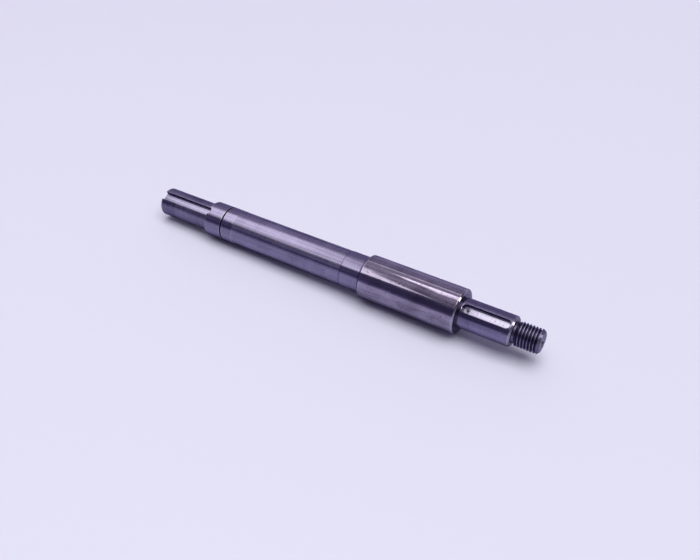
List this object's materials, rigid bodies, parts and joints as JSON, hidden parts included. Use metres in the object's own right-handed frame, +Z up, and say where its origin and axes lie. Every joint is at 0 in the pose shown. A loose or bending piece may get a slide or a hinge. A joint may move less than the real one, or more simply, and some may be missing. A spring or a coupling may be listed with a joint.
{
  "type": "stepped drive shaft",
  "caption": "Stepped steel drive shaft with keyed journals for a coupling and an impeller, ground bearing seats, a thick seal collar and a threaded end.",
  "frame": {"origin": "on the shaft's axis, midway between its two end faces", "axes": "+X along the axis towards the threaded end, +Z up as it lies on a bench, with the keyways turned 30 degrees from +Z towards -Y"},
  "size_m": [0.2924, 0.03, 0.03],
  "materials": {
    "steel": "turned, with ground seats and a polished collar"
  },
  "bodies": {
    "root": {"shaft": "steel"}
  },
  "joints": []
}
